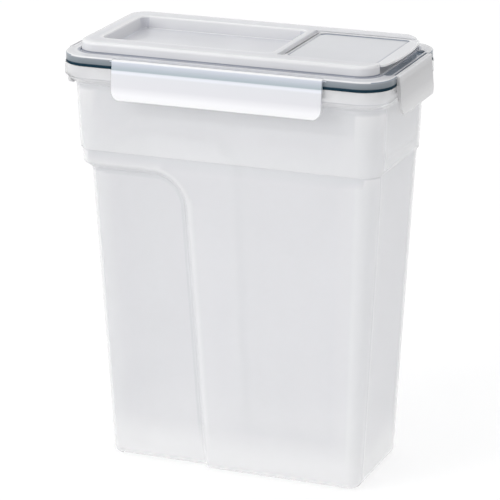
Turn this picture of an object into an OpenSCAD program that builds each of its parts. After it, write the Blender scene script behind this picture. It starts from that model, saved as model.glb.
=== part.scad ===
// Tall cereal container with a clip-on lid and a flip spout.
// Frame: origin at the centre of the underside, X along the long side with the
// spout at +X, front long side at -Y, Z up. All lengths in millimetres.

/* [Container] */
// Height of the rim's top edge
rim_z = 307; // [240:1:360]
// Height of the rim band
band_h = 8.5; // [5:0.5:14]
// Height over which the mouth flares out below the rim band
flare_h = 7.5; // [4:0.5:14]
// Height of the upper walls between step and flare
upper_h = 49; // [30:1:80]
// How far the mouth flares out at each end
end_flare = 6.45; // [4:0.05:9]
// How far the mouth flares out at each side
side_flare = 8.85; // [6:0.05:11]
// Growth of the upper walls between step and flare, each side
upper_draft = 2.1; // [0:0.1:4]
// How far the upper walls stand out at the step
step_out = 1.35; // [0.5:0.05:3]
// Growth of the lower walls between floor and step at each end
end_draft = 13.6; // [4:0.2:18]
// Growth of the lower walls between floor and step at each side
side_draft = 8; // [2:0.2:12]
// Wall thickness
wall = 1.8; // [1.2:0.1:3]
// Thickness of the rim band
rim_wall = 2.4; // [1.6:0.1:4]
// Thickness of the floor
floor_t = 2.2; // [1.5:0.1:4]
// Radius between floor and walls
base_fillet = 6; // [2:0.5:7]

/* [Grip] */
// Depth of the hand grip in the walls
grip_depth = 6; // [2:0.5:8]
// Width of the grip from the left end
grip_wid = 86; // [50:1:110]
// Distance of the grip's top ledge below the step
grip_drop = 10; // [6:0.5:40]
// Radius of the grip's inner top corner
grip_r = 28; // [10:1:40]
// Width of the slope into the grip
grip_slope = 6.5; // [3:0.5:12]

/* [Lid] */
// Length of the lid's flange
lid_len = 250; // [200:1:300]
// Width of the lid's flange
lid_wid = 128; // [100:1:160]
// Corner radius of the lid's flange
lid_r = 22; // [10:0.5:30]
// How far the container's rim stands out past the flange
rim_out = 0.5; // [0:0.1:2]
// Height of the flange's side
flange_h = 5.7; // [4:0.1:9]
// Rise of the flange from its edge to the raised top
flange_rise = 0.8; // [0:0.1:2]
// Width of the flange left free at each end
end_ledge = 11; // [9:0.5:20]
// Width of the flange left free at each side
side_ledge = 10; // [7:0.5:16]
// Height of the raised top over the flange
top_h = 7.7; // [4:0.1:12]
// Corner radius of the raised top
top_r = 14; // [4:0.5:20]
// Plate thickness of the lid
lid_t = 1.8; // [1.2:0.1:3]
// Border of the raised top left of the tray
tray_end = 13; // [8:0.5:30]
// Border of the raised top at each side of the tray
tray_side = 16.5; // [10:0.5:30]
// Width of the bar between the tray and the flap's pocket
tray_gap = 6.5; // [5:0.1:20]
// Depth of the sunken tray
tray_depth = 8.8; // [2:0.1:9]
// Corner radius of the tray
tray_r = 6; // [5:0.5:14]
// Length of the skirt that enters the mouth
skirt_h = 8.5; // [4:0.5:12]
// Gap between skirt and mouth
skirt_gap = 0.6; // [0.3:0.1:1.5]

/* [Seal] */
// Visible height of the seal between rim and flange
seal_t = 1.8; // [1:0.1:3]
// Height of the seal's rib in the flange
seal_rib = 1.7; // [1:0.1:2.2]

/* [Spout flap] */
// Distance of the flap's hinge axis from the right end of the raised top
flap_len = 73.5; // [55:0.5:80]
// Border of the raised top at each side of the flap
flap_side = 14.5; // [12:0.5:28]
// Thickness of the flap's plate
flap_t = 2; // [1.4:0.1:3]
// How far the flap's top lies under the raised top
flap_low = 0.5; // [0:0.1:1]
// Reach of the finger lip past the raised top
lip_reach = 7; // [3:0.5:8]
// How far the lip bows between its ends and its middle
lip_bow = 4.5; // [1:0.5:6]
// Border of the flap around its shallow dish at each side
dish_side = 1.2; // [1:0.1:4]
// Depth of the dish
dish_d = 0.7; // [0.3:0.1:1]
// Corner radius of the dish
dish_r = 7; // [3:0.5:12]
// Radius of the flap's knuckle
knuckle_r = 2.6; // [2:0.1:3]
// Radius of the flap's hinge pins
flap_pin_r = 1.3; // [0.8:0.1:1.8]
// Gap between flap and pocket
flap_gap = 0.5; // [0.3:0.1:1]
// Distance between the hinge axis and the pour opening
pour_back = 18.5; // [10:0.5:24]
// Distance between the pour opening and the right end of the raised top
pour_front = 9; // [5:0.5:14]
// Distance between the sides of the flap and the pour opening
pour_side = 9.5; // [5:0.5:16]

/* [Clips] */
// Length of the long clips
clip_long = 160; // [100:1:190]
// Length of the short clips
clip_short = 72; // [40:1:78]
// Thickness of a clip's plate
clip_t = 1.7; // [1.2:0.1:2.4]
// How far a clip's free edge hangs below the rim band's lower edge
clip_drop = 13.2; // [9:0.2:20]
// Gap between a clip's plate and the flange
clip_gap = 0.45; // [0.3:0.05:1]
// Radius of a clip's hinge barrel
barrel_r = 1.4; // [1.1:0.1:1.8]
// Radius of a clip's hinge pins
clip_pin_r = 0.9; // [0.6:0.05:1.2]
// Length of a clip's hinge pins
clip_pin_l = 2.5; // [1.5:0.1:4]
// Running clearance of every pin in its bore
pin_clear = 0.05; // [0.02:0.01:0.1]
// Corner radius at a clip's free edge
clip_r = 7.5; // [3:0.5:12]

/* [Hidden] */
// Levels of the container
band_z = rim_z - band_h;
shoulder_z = band_z - flare_h;
step_z = shoulder_z - upper_h;
grip_top = step_z - grip_drop;
// Nested levels of the lid
flange_z = rim_z + seal_t;
edge_z = flange_z + flange_h;
foot_z = edge_z + flange_rise;
top_z = foot_z + top_h;
// Container from the rim down
rim_len = lid_len + 2 * rim_out;
rim_wid = lid_wid + 2 * rim_out;
rim_r = lid_r - 0.5;
sh_len = rim_len - 2 * end_flare;
sh_wid = rim_wid - 2 * side_flare;
up_len = sh_len - 2 * upper_draft;
up_wid = sh_wid - 2 * upper_draft;
lower_len = up_len - 2 * step_out;
lower_wid = up_wid - 2 * step_out;
base_len = lower_len - 2 * end_draft;
base_wid = lower_wid - 2 * side_draft;
// Container corner radii at floor, step and shoulder
base_r = 9.5;
step_r = 14;
shoulder_r = 17;
// Least radius of the left corners, so that some is left inside the grip
grip_corner = grip_depth + 2.5;
// Mouth of the container and the skirt in it
mouth_len = rim_len - 2 * rim_wall;
mouth_wid = rim_wid - 2 * rim_wall;
mouth_r = rim_r - rim_wall;
skirt_len = mouth_len - 2 * skirt_gap;
skirt_wid = mouth_wid - 2 * skirt_gap;
skirt_r = mouth_r - skirt_gap;
// Hinge lines and notches of the clips
clip_in = clip_gap * 2;
clip_axis_z = edge_z - barrel_r - 0.2;
notch_in = clip_in + barrel_r + 0.3;
notch_z = clip_axis_z - barrel_r - 0.1;
// Raised top, flap, tray and pour opening
top_len = lid_len - 2 * end_ledge;
top_wid = lid_wid - 2 * side_ledge;
flap_x = top_len / 2 - flap_len;
flap_wid = top_wid - 2 * flap_side;
tray_wid = top_wid - 2 * tray_side;
pour_x0 = flap_x + pour_back;
pour_x1 = top_len / 2 - pour_front;
pour_wid = flap_wid - 2 * pour_side;
pocket_wid = flap_wid + 2 * flap_gap;
pocket_x0 = flap_x - knuckle_r - flap_gap + 0.1;
pocket_run = 1.2;
tray_x0 = tray_end - top_len / 2;
tray_x1 = pocket_x0 - tray_gap;
pocket_z = foot_z - 0.5;
flap_top = top_z - flap_low;
flap_axis_z = flap_top - knuckle_r;
plug_gap = 1;
lip_w = flap_wid + 1;
lip_room = lid_len / 2 - notch_in - 1 - top_len / 2 - 0.8;
dish_x0 = flap_x + 0.8;
dish_x1 = top_len / 2 - 3;
// Segments in a quarter round
q = 10;

// Columns of the container's long walls, from its left end, and levels of its walls
steps = 14;
cols = concat([24, 42], [for (i = [0 : steps]) grip_wid - grip_r * (1 - i / steps)]);
mids = concat(
    [for (t = [0.3, 0.75]) t * (grip_top - grip_r)],
    [for (i = [0 : steps]) grip_top - grip_r * (1 - i / steps)]
);

function lerp(a, b, t) = a + (b - a) * t;
function ease(t) = let (c = max(0, min(1, t))) c * c * (3 - 2 * c);

// Points of a rounded rectangle, counter-clockwise, n steps in each corner
function rr_points(l, w, r, n) = [
    for (k = [0 : 3])
        let (cx = (k == 0 || k == 3 ? 1 : -1) * (l / 2 - r), cy = (k < 2 ? 1 : -1) * (w / 2 - r))
        for (i = [0 : n])
            let (a = 90 * k + 90 * i / n)
            [cx + r * cos(a), cy + r * sin(a)]
];

// Half sizes and corner radius of the lower walls at height z
function low_size(z) = [
    lerp(base_len, lower_len, z / step_z) / 2,
    lerp(base_wid, lower_wid, z / step_z) / 2,
    lerp(base_r, step_r, z / step_z)
];

// Inset of the grip at u from the left end and height z
function grip_inset(u, z) =
    let (du = max(u - grip_wid + grip_r, 0), dz = max(z - grip_top + grip_r, 0))
    grip_depth * ease((grip_r - norm([du, dz])) / grip_slope);

// One point of a ring: base point, outward normal, distance from the left end
function ring_point(p, n, u, z, s) =
    let (g = s[4] * grip_inset(u, z))
    [p[0] - n[0] * g, p[1] - n[1] * g, z];

// A quarter round of a ring about c, from angle a0
function ring_corner(c, r, a0, z, s, u0) = [
    for (i = [0 : q - 1])
        let (a = a0 + 90 * i / (q - 1), n = [cos(a), sin(a)])
        ring_point(c + r * n, n, max(0, u0 + r * (1 + cos(a))), z, s)
];

// A closed ring at height z; s = [half length, half width, radius, outer half length, grip on]
function ring(z, s) =
    let (a = s[0], b = s[1], r = s[2], o = s[3], e = o - a, t = max(r, s[4] * grip_corner))
    concat(
        [for (c = cols) ring_point([-o + c, -b], [0, -1], c, z, s)],
        [[(a - r) / 2, -b, z]],
        ring_corner([a - r, -b + r], r, -90, z, s, 2 * a - 2 * r),
        ring_corner([a - r, b - r], r, 0, z, s, 2 * a - 2 * r),
        [[(a - r) / 2, b, z]],
        [for (i = [len(cols) - 1 : -1 : 0]) ring_point([-o + cols[i], b], [0, 1], cols[i], z, s)],
        ring_corner([-a + t, b - t], t, 90, z, s, e),
        ring_corner([-a + t, -b + t], t, 180, z, s, e)
    );

// Ring of the lower walls at height z, set in by e
function low_ring(z, e, zs) =
    let (s = low_size(zs))
    ring(z, [s[0] - e, s[1] - e, max(1.6, s[2] - e), s[0], 1]);

// Ring of a given full size without the grip
function plain_ring(z, l, w, r) = ring(z, [l / 2, w / 2, r, l / 2, 0]);

in_fillet = base_fillet - wall;

shell_rings = concat(
    [for (t = [0 : 15 : 90]) let (f = base_fillet)
        low_ring(f * (1 - cos(t)), f * (1 - sin(t)), f * (1 - cos(t)))],
    [for (z = mids) low_ring(z, 0, z)],
    [low_ring(step_z - 0.4, 0, step_z)],
    [plain_ring(step_z, up_len - 0.5, up_wid - 0.5, step_r + 0.5)],
    [plain_ring(step_z + 0.5, up_len, up_wid, step_r + 1)],
    [plain_ring(shoulder_z, sh_len, sh_wid, shoulder_r)],
    [plain_ring(band_z - 0.3, rim_len - 0.5, rim_wid - 0.5, rim_r - 0.3)],
    [plain_ring(band_z + 0.3, rim_len, rim_wid, rim_r)],
    [plain_ring(rim_z - 0.5, rim_len, rim_wid, rim_r)],
    [plain_ring(rim_z, rim_len - 1, rim_wid - 1, rim_r - 0.5)],
    [plain_ring(rim_z, mouth_len + 1, mouth_wid + 1, mouth_r + 0.5)],
    [plain_ring(rim_z - 0.5, mouth_len, mouth_wid, mouth_r)],
    [plain_ring(band_z + 0.9, mouth_len, mouth_wid, mouth_r)],
    [plain_ring(shoulder_z + 0.9, sh_len - 2 * wall, sh_wid - 2 * wall, shoulder_r - wall)],
    [plain_ring(step_z + 0.5, up_len - 2 * wall, up_wid - 2 * wall, step_r + 1 - wall)],
    [low_ring(step_z - 0.4, wall, step_z)],
    [for (i = [len(mids) - 1 : -1 : 0]) low_ring(mids[i], wall, mids[i])],
    [for (t = [90 : -15 : 0]) let (f = in_fillet, h = f * (1 - cos(t)))
        low_ring(floor_t + h, wall + f * (1 - sin(t)), floor_t + h)]
);

// The container: rings from the floor up the outside, over the rim and down the inside
module container() {
    n = len(shell_rings[0]);
    m = len(shell_rings);
    points = [for (r = shell_rings) for (p = r) p];
    sides = [
        for (k = [0 : m - 2])
            for (i = [0 : n - 1])
                let (j = (i + 1) % n, a = k * n)
                for (f = [[a + i, a + n + i, a + n + j], [a + i, a + n + j, a + j]])
                    f
    ];
    under = [for (i = [0 : n - 1]) [m * n, i, (i + 1) % n]];
    inside = [for (i = [0 : n - 1]) [m * n + 1, (m - 1) * n + (i + 1) % n, (m - 1) * n + i]];
    centres = [[0, 0, 0], [0, 0, floor_t]];
    color([0.93, 0.94, 0.95, 0.5])
        polyhedron(concat(points, centres), concat(under, sides, inside), convexity = 12);
}

// A slab with rounded corners from z up to z + h
module slab(l, w, r, z, h) {
    translate([0, 0, z])
        linear_extrude(h)
            polygon(rr_points(l, w, r, q));
}

// A slab of the same kind between two x positions
module slab_x(x0, x1, w, r, z, h) {
    translate([(x0 + x1) / 2, 0, 0])
        slab(x1 - x0, w, r, z, h);
}

// Plan of the raised top, set in by e
module top_plan(e) {
    polygon(rr_points(top_len - 2 * e, top_wid - 2 * e, max(1, top_r - e), q));
}

// The flange: straight side, broken edge and a slight rise to the raised top
module flange() {
    hull() {
        slab(lid_len, lid_wid, lid_r, flange_z, flange_h - 0.8);
        slab(lid_len - 0.5, lid_wid - 0.5, lid_r - 0.25, flange_z, flange_h - 0.25);
        slab(lid_len - 1.6, lid_wid - 1.6, lid_r - 0.8, flange_z, flange_h);
        slab(top_len + 3, top_wid + 3, top_r + 1, flange_z, flange_h + flange_rise);
    }
}

// The raised top with drafted sides and a rounded edge
module raised_top() {
    translate([0, 0, edge_z - 1])
        hull() {
            linear_extrude(foot_z - edge_z + 1.6)
                top_plan(0);
            linear_extrude(top_z - edge_z - 0.5)
                top_plan(0.45);
            linear_extrude(top_z - edge_z + 0.3)
                top_plan(0.75);
            linear_extrude(top_z - edge_z + 0.8)
                top_plan(1.3);
            linear_extrude(top_z - edge_z + 1)
                top_plan(2.2);
        }
}

// The sunken tray grown by e, reaching down to its floor plus e
module tray(e) {
    hull() {
        slab_x(tray_x0 - e, tray_x1 + e, tray_wid + 2 * e, tray_r + e, top_z, 1);
        slab_x(tray_x0 + 1.8 - e, tray_x1 - 1.8 + e, tray_wid - 3.6 + 2 * e, tray_r - 0.8 + e,
            top_z - tray_depth + 1.2 - e, 1);
        slab_x(tray_x0 + 3.2 - e, tray_x1 - 3.2 + e, tray_wid - 6.4 + 2 * e, tray_r - 2 + e,
            top_z - tray_depth - e, 1);
    }
}

// Hollow under the flange and the raised top, around the tray and the flap's pocket
module under_hollow() {
    difference() {
        union() {
            slab(skirt_len - 2 * lid_t, skirt_wid - 2 * lid_t, skirt_r - lid_t,
                flange_z - 1, edge_z - 1.9 - flange_z + 1);
            translate([0, 0, flange_z])
                linear_extrude(top_z - lid_t - flange_z)
                    top_plan(lid_t + 0.4);
        }
        tray(lid_t);
        translate([pocket_x0 - lid_t - 4.5, -pocket_wid / 2 - lid_t - 1.2, pocket_z - lid_t])
            cube([top_len, pocket_wid + 2 * lid_t + 2.4, 20]);
    }
}

// The flap's pocket, open to the right, with a slanted rear edge
module pocket() {
    w = pocket_wid / 2;
    translate([pocket_x0, -w, pocket_z])
        cube([top_len / 2 - pocket_x0 + 1.2, 2 * w, 20]);
    translate([0, w, 0])
        rotate([90, 0, 0])
            linear_extrude(2 * w)
                polygon([
                    [pocket_x0 + 1, flap_axis_z + 0.9],
                    [pocket_x0, flap_axis_z + 0.9],
                    [pocket_x0 - pocket_run, top_z],
                    [pocket_x0 - pocket_run, top_z + 1],
                    [pocket_x0 + 1, top_z + 1]
                ]);
}

// The notch for one clip's barrel and the two bores for its pins, on the front side
module clip_notch(l, w) {
    translate([-l / 2 - 0.3, -w / 2 - 1, notch_z])
        cube([l + 0.6, notch_in + 1, 8]);
    translate([-l / 2 - clip_pin_l - 0.3, -w / 2 + clip_in, clip_axis_z])
        rotate([0, 90, 0])
            cylinder(r = clip_pin_r + pin_clear, h = l + 2 * clip_pin_l + 0.6, $fn = 32);
}

// Turns a part of the front side to the other three sides
module at_side(k) {
    rotate([0, 0, 90 * k])
        children();
}

module lid() {
    color([0.85, 0.87, 0.88, 0.7])
        difference() {
            union() {
                flange();
                raised_top();
                slab(skirt_len, skirt_wid, skirt_r, flange_z - skirt_h, skirt_h + 1);
            }
            under_hollow();
            slab(skirt_len - 2 * lid_t, skirt_wid - 2 * lid_t, skirt_r - lid_t,
                flange_z - skirt_h - 1, skirt_h + 1.5);
            tray(0);
            pocket();
            slab_x(pour_x0, pour_x1, pour_wid, 10, flange_z, 20);
            slab_x(top_len / 2 + 0.8, top_len / 2 + 0.8 + lip_room, lip_w,
                min(3.2, lip_room / 2 - 0.1), edge_z - 0.9, 5);
            difference() {
                translate([0, 0, foot_z - 0.9])
                    linear_extrude(2)
                        top_plan(-1.1);
                translate([0, 0, foot_z - 2])
                    linear_extrude(4)
                        top_plan(0);
            }
            difference() {
                slab(lid_len - 2, lid_wid - 2, lid_r - 1, flange_z - 1, seal_rib + 1);
                slab(lid_len - 4.4, lid_wid - 4.4, lid_r - 2.2, flange_z - 2, seal_rib + 3);
            }
            for (k = [0, 2])
                at_side(k)
                    clip_notch(clip_long, lid_wid);
            for (k = [1, 3])
                at_side(k)
                    clip_notch(clip_short, lid_len);
            translate([flap_x, 0, flap_axis_z])
                rotate([90, 0, 0])
                    cylinder(r = flap_pin_r + pin_clear, h = flap_wid + 6.8, center = true, $fn = 40);
        }
}

// The seal: a flat ring on the rim with a rib that sits in the flange
module lid_seal() {
    color([0.04, 0.18, 0.26])
        difference() {
            union() {
                slab(lid_len - 0.9, lid_wid - 0.9, lid_r - 0.45, rim_z, seal_t);
                difference() {
                    slab(lid_len - 2.1, lid_wid - 2.1, lid_r - 1.05, rim_z, seal_t + seal_rib - 0.05);
                    slab(lid_len - 4.3, lid_wid - 4.3, lid_r - 2.15, rim_z + seal_t, seal_rib + 1);
                }
            }
            slab(skirt_len + 0.2, skirt_wid + 0.2, skirt_r + 0.1, rim_z - 1, seal_t + 1);
            slab(lid_len - 4.3, lid_wid - 4.3, lid_r - 2.15, rim_z + seal_t - 0.01, seal_rib + 1);
        }
}

// Plan of the flap from x0, half width w, with the bowed finger lip and its rounded ends
module flap_plan(x0, w) {
    r = 2.5;
    n = 20;
    end_x = top_len / 2 + lip_reach - lip_bow;
    polygon(concat(
        [[x0, w], [x0, -w], [end_x - r, -w]],
        [for (i = [1 : q]) let (a = -90 + 60 * i / q) [end_x - r + r * cos(a), -w + r + r * sin(a)]],
        [for (i = [1 : n - 1]) let (t = -1 + 2 * i / n)
            [end_x + lip_bow * (1 - pow(abs(t), 2.4)), t * (w - r / 2)]],
        [for (i = [q : -1 : 1]) let (a = -90 + 60 * i / q) [end_x - r + r * cos(a), w - r - r * sin(a)]],
        [[end_x - r, w]]
    ));
}

// The flap: dished plate, knuckle with two pins, side walls and the plug ring
module spout_flap() {
    w = flap_wid / 2;
    under = flap_top - flap_t;
    color([0.86, 0.88, 0.9, 0.7])
        difference() {
            union() {
                translate([0, 0, under])
                    linear_extrude(flap_t)
                        flap_plan(flap_x, w);
                translate([flap_x, 0, flap_axis_z])
                    rotate([90, 0, 0])
                        cylinder(r = knuckle_r, h = flap_wid, center = true, $fn = 48);
                translate([flap_x, 0, flap_axis_z])
                    rotate([90, 0, 0])
                        cylinder(r = flap_pin_r, h = flap_wid + 6, center = true, $fn = 40);
                difference() {
                    slab_x(pour_x0 + plug_gap, pour_x1 - plug_gap, pour_wid - 2 * plug_gap, 9,
                        pocket_z - 1.4, under - pocket_z + 1.5);
                    slab_x(pour_x0 + plug_gap + 1.6, pour_x1 - plug_gap - 1.6,
                        pour_wid - 2 * plug_gap - 3.2, 7.4, pocket_z - 2, under - pocket_z + 2);
                }
                for (s = [-1, 1])
                    translate([flap_x + 5, s * (w - 0.8) - 0.8, pocket_z])
                        cube([flap_len - 8, 1.6, under - pocket_z + 0.1]);
            }
            slab_x(dish_x0, dish_x1, flap_wid - 2 * dish_side, dish_r, flap_top - dish_d, 2);
        }
}

// Cross-section of a clip: u outward from its hinge axis, v upward
rim_u = clip_in + rim_out;
plate_u = clip_in + clip_gap;
hook_v = band_z - clip_axis_z;
edge_v = hook_v - clip_drop;
clip_section = [
    [0, barrel_r], [1.5, barrel_r], [plate_u + 0.55, barrel_r - 0.15],
    [plate_u + clip_t - 0.45, barrel_r - 0.45], [plate_u + clip_t - 0.1, 0.45],
    [plate_u + clip_t, -0.2], [plate_u + clip_t, -3.2],
    [rim_u + clip_t + 0.55, -5.8], [rim_u + clip_t + 1.2, hook_v - 0.2],
    [rim_u + clip_t + 1.4, hook_v - 3.6], [rim_u + clip_t + 1.85, hook_v - 7.8],
    [rim_u + clip_t + 2.7, edge_v + 0.7], [rim_u + clip_t + 2.5, edge_v + 0.15],
    [rim_u + clip_t + 2, edge_v], [rim_u + clip_t + 1.45, edge_v + 0.3],
    [rim_u + 2.35, hook_v - 8.8], [rim_u + 1.7, hook_v - 6], [rim_u + 1.35, hook_v - 3.9],
    [rim_u + 0.7, hook_v - 2.9], [rim_u + 0.25, hook_v - 2.1], [rim_u + 0.22, hook_v - 1.5],
    [rim_u + 0.6, hook_v - 1], [rim_u + 1.22, hook_v - 0.4], [rim_u + 1.2, hook_v + 0.2],
    [rim_u + 0.55, -5.6], [plate_u, -3], [plate_u, -0.7], [0, -0.7]
];

// A clip on the front side: plate, barrel, pins, rounded free corners
module clip(l, w) {
    translate([0, -w / 2 + clip_in, clip_axis_z]) {
        intersection() {
            translate([-l / 2, 0, 0])
                rotate([90, 0, 90])
                    linear_extrude(l)
                        polygon([for (p = clip_section) [-p[0], p[1]]]);
            rotate([90, 0, 0])
                translate([0, 0, -3])
                    linear_extrude(12 + clip_t)
                        polygon(concat(
                            [[-l / 2, 3], [-l / 2, edge_v + clip_r]],
                            [for (i = [1 : q]) let (a = 180 + 90 * i / q)
                                [-l / 2 + clip_r + clip_r * cos(a), edge_v + clip_r + clip_r * sin(a)]],
                            [for (i = [0 : q]) let (a = 270 + 90 * i / q)
                                [l / 2 - clip_r + clip_r * cos(a), edge_v + clip_r + clip_r * sin(a)]],
                            [[l / 2, 3]]
                        ));
        }
        rotate([0, 90, 0])
            cylinder(r = barrel_r, h = l, center = true, $fn = 32);
        rotate([0, 90, 0])
            cylinder(r = clip_pin_r, h = l + 2 * clip_pin_l, center = true, $fn = 32);
    }
}

module front_clip() {
    color([0.94, 0.95, 0.96, 0.8])
        clip(clip_long, lid_wid);
}

module back_clip() {
    color([0.94, 0.95, 0.96, 0.8])
        at_side(2)
            clip(clip_long, lid_wid);
}

module left_clip() {
    color([0.94, 0.95, 0.96, 0.8])
        at_side(3)
            clip(clip_short, lid_len);
}

module right_clip() {
    color([0.94, 0.95, 0.96, 0.8])
        at_side(1)
            clip(clip_short, lid_len);
}

container();
lid();
lid_seal();
spout_flap();
front_clip();
back_clip();
left_clip();
right_clip();
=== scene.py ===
"""Looks of a tall cereal container with a clip-on lid and a flip spout.

The fixed frame is in metres: origin at the centre of the underside, +X towards
the spout, the front at -Y, +Z up. Sizes in this script are in millimetres unless
they say otherwise, the main ones are read from the frame, and every mesh is
scaled once at its end.
"""

import logging
import math
from dataclasses import dataclass, field, replace
from enum import Enum
from typing import Sequence

import bmesh
import bpy
from mathutils import Matrix, Vector

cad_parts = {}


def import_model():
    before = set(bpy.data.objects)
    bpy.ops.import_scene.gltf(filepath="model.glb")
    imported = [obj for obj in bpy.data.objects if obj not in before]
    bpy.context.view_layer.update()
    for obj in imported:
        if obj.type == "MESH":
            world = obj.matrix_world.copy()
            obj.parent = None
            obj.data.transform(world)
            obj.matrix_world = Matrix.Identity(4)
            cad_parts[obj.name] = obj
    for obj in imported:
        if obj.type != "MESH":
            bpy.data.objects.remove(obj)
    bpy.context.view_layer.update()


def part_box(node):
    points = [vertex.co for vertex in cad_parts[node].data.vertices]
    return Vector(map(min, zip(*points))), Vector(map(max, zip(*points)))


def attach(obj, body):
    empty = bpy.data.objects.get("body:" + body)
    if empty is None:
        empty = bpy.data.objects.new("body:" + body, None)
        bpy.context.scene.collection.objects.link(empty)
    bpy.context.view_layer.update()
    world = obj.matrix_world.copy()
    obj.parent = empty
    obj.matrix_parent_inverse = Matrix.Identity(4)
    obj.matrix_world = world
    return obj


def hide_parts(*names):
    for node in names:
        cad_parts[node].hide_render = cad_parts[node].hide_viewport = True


log = logging.getLogger("cereal_container")

MM = 0.001
RELIEF = "relief"
CAMERA_RAY = "Is Camera Ray"
SHINE_RAYS = ("Is Glossy Ray", "Is Transmission Ray")
WHITE = (1, 1, 1, 1)
ALONG_X = Matrix.Rotation(math.radians(90), 3, "Y")
ALONG_Y = Matrix.Rotation(math.radians(90), 3, "X")
ROD_SIDES = 40

# Points closer than this become one.
MERGE = 0.001
# Directions smaller than this count as none.
TINY = 1e-6
# Smallest corner radius of an outline that shrinks.
LEAST_CORNER = 0.4
# How squarely a bowed end keeps out to its corners.
BOW_POWER = 2.4
# Two sides of a section line that meet at more than this angle count as straight.
NEARLY_STRAIGHT = math.pi - 0.01
# Share of a side that one rounded corner takes up at most.
CORNER_SHARE = 0.48
# Share of a side within which a corner's support point has to lie.
HOLD_SHARE = 0.45
# Greatest distance of a support point from its rounded corner.
HOLD_REACH = 1.0

Section = list[tuple[float, float]]
Color = tuple[float, float, float]
Socket = bpy.types.NodeSocket
Feed = Socket | float | Sequence[float]


class Carving(Enum):
    """Ways in which a tool shape acts on a piece."""

    CUT = "DIFFERENCE"
    JOIN = "UNION"
    KEEP = "INTERSECT"


class Side(Enum):
    """The four sides that carry a clip, as quarter turns from the front."""

    FRONT = 0
    RIGHT = 1
    BACK = 2
    LEFT = 3

    @property
    def at_end(self) -> bool:
        """True for the two short sides."""
        return self.value % 2 == 1

    @property
    def turn(self) -> Matrix:
        """Rotation that brings the front round to this side."""
        return Matrix.Rotation(math.radians(90 * self.value), 4, "Z")


def clamped(share: float) -> float:
    """Share kept between 0 and 1."""
    return max(0.0, min(1.0, share))


def eased(share: float) -> float:
    """Share that starts and ends gently."""
    return share * share * (3 - 2 * share)


def link_object(name: str, data: bpy.types.ID) -> bpy.types.Object:
    """Put a mesh, a lamp or a camera into the scene.

    Args:
        name: Name of the object.
        data: What the object shows.

    Returns:
        The object, at the origin.
    """
    made = bpy.data.objects.new(name, data)
    bpy.context.scene.collection.objects.link(made)
    return made


def new_object(name: str, bm: bmesh.types.BMesh) -> bpy.types.Object:
    """Turn a finished bmesh in millimetres into an object at the origin.

    Args:
        name: Name of the object.
        bm: The shape, which is freed.

    Returns:
        The object, linked to the scene.
    """
    bmesh.ops.remove_doubles(bm, verts=bm.verts, dist=MERGE)
    bmesh.ops.recalc_face_normals(bm, faces=bm.faces)
    bmesh.ops.scale(bm, vec=(MM, MM, MM), verts=bm.verts)
    mesh = bpy.data.meshes.new(name)
    bm.to_mesh(mesh)
    bm.free()
    return link_object(name, mesh)


def bake_modifiers(piece: bpy.types.Object) -> None:
    """Replace a piece's mesh by what its modifiers make of it.

    Args:
        piece: The piece, which loses its modifiers.
    """
    depsgraph = bpy.context.evaluated_depsgraph_get()
    depsgraph.update()
    mesh = bpy.data.meshes.new_from_object(piece.evaluated_get(depsgraph))
    piece.modifiers.clear()
    piece.data = mesh


def carve(piece: bpy.types.Object, tool: bpy.types.Object, how: Carving) -> None:
    """Join a tool shape to a piece, cut it away or keep only what it covers.

    Args:
        piece: The piece that is changed.
        tool: The tool shape, which is used up.
        how: What the tool does.
    """
    modifier = piece.modifiers.new("carve", "BOOLEAN")
    modifier.object = tool
    modifier.operation = how.value
    modifier.solver = "EXACT"
    bake_modifiers(piece)
    bpy.data.objects.remove(tool)


def mark_relief(piece: bpy.types.Object, sharp_radius: float = 0.8, flat_area: float = 30.0) -> None:
    """Note on a piece how sharply it bends, which the materials use for painted highlights on ridges and
    painted shade in valleys: +1 on ridges, -1 in valleys, 0 where it is flat.

    Args:
        piece: The piece, which gets the relief attribute on its face corners.
        sharp_radius: Radius at which a bend counts in full.
        flat_area: Many-sided faces above this many square millimetres count as flat.
    """
    bm = bmesh.new()
    bm.from_mesh(piece.data)
    bm.normal_update()
    relief = bm.loops.layers.float.new(RELIEF)
    bends = []
    for vert in bm.verts:
        bend = 0.0
        for edge in vert.link_edges:
            other = edge.other_vert(vert)
            step = other.co - vert.co
            if step.length_squared > 0:
                along = (other.normal - vert.normal).dot(step) / step.length_squared
                bend = max(bend, along, key=abs)
        bends.append(math.copysign(min(abs(bend) * MM * sharp_radius, 1) ** 0.5, bend))
    for face in bm.faces:
        flat = len(face.verts) > 4 and face.calc_area() > flat_area * MM * MM
        for loop in face.loops:
            loop[relief] = 0.0 if flat else bends[loop.vert.index]
    bm.to_mesh(piece.data)
    bm.free()


def finish_surface(
    piece: bpy.types.Object, edge: float, angle: float = 38.0, sharp_radius: float = 0.8,
) -> None:
    """Break a piece's sharp edges and give it clean shading.

    Args:
        piece: The piece to finish.
        edge: Width of the broken edge, 0 for none.
        angle: Edges sharper than this many degrees are broken.
        sharp_radius: Radius at which a bend gets the full painted highlight on ridges and painted shade in
            valleys.
    """
    if edge > 0:
        bevel = piece.modifiers.new("edges", "BEVEL")
        bevel.width = edge * MM
        bevel.segments = 2
        bevel.limit_method = "ANGLE"
        bevel.angle_limit = math.radians(angle)
        bevel.use_clamp_overlap = True
        bake_modifiers(piece)
    mark_relief(piece, sharp_radius)
    mesh = piece.data
    mesh.polygons.foreach_set("use_smooth", [True] * len(mesh.polygons))
    mesh.set_sharp_from_angle(angle=math.radians(angle))
    weighted = piece.modifiers.new("shading", "WEIGHTED_NORMAL")
    weighted.keep_sharp = True
    bake_modifiers(piece)


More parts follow.
